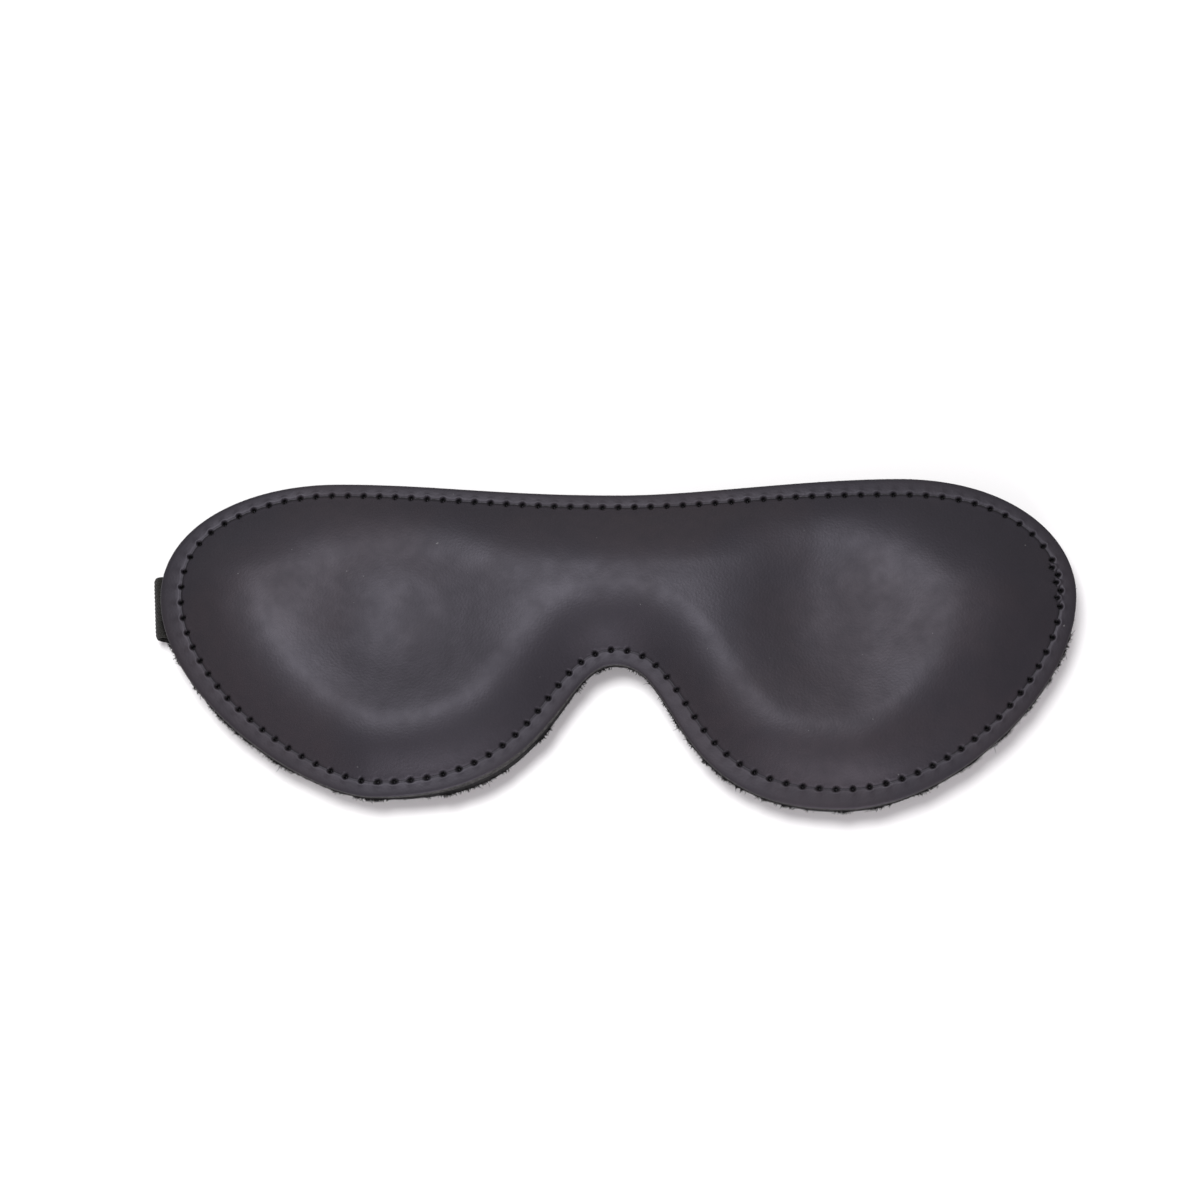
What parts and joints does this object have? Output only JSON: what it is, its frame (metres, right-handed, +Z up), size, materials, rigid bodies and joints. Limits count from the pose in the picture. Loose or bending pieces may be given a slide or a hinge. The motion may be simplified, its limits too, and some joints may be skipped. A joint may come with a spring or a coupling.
{
  "type": "padded eye mask",
  "caption": "Padded leather mask for both eyes, with raised rings round the eye hollows, a nose notch, a suede lining and an adjustable elastic head strap.",
  "frame": {"origin": "on the table under the middle of the mask, between the two eyes", "axes": "+X across both eyes, +Y towards the brow, +Z up, out of the front of the mask, which lies face up"},
  "size_m": [0.2172, 0.078, 0.0168],
  "materials": {
    "leather": "smooth black leather, semi matte, very fine grain",
    "suede": "black suede split, napped",
    "foam": "open cell foam",
    "thread": "black bonded sewing thread",
    "elastic": "black woven elastic",
    "steel": "nickel plated steel wire",
    "plastic": "moulded black plastic"
  },
  "bodies": {
    "mask": {"front_panel": "leather", "foam_core": "foam", "back_lining": "suede", "rim_stitches_front": "thread", "rim_stitches_back": "thread", "strap_end_left": "elastic", "strap_end_right": "elastic", "end_tack_left": "thread", "end_tack_right": "thread"},
    "strap": {"long_strap": "elastic", "short_strap": "elastic", "ring": "steel", "ring_tack": "thread"},
    "slider": {"slider": "plastic", "slider_tack": "thread"}
  },
  "joints": [
    {"name": "strap_pull", "type": "slide", "parent": "mask", "child": "strap", "axis": [0, 0, -1], "range_m": [0, 0.1], "stiffness_N_per_m": 20, "springref_m": -0.008, "deforming": ["short_strap"]},
    {"name": "slider_slide", "type": "slide", "parent": "strap", "child": "slider", "axis": [1, 0, 0], "range_m": [0, 0.03], "deforming": ["long_strap"]}
  ]
}
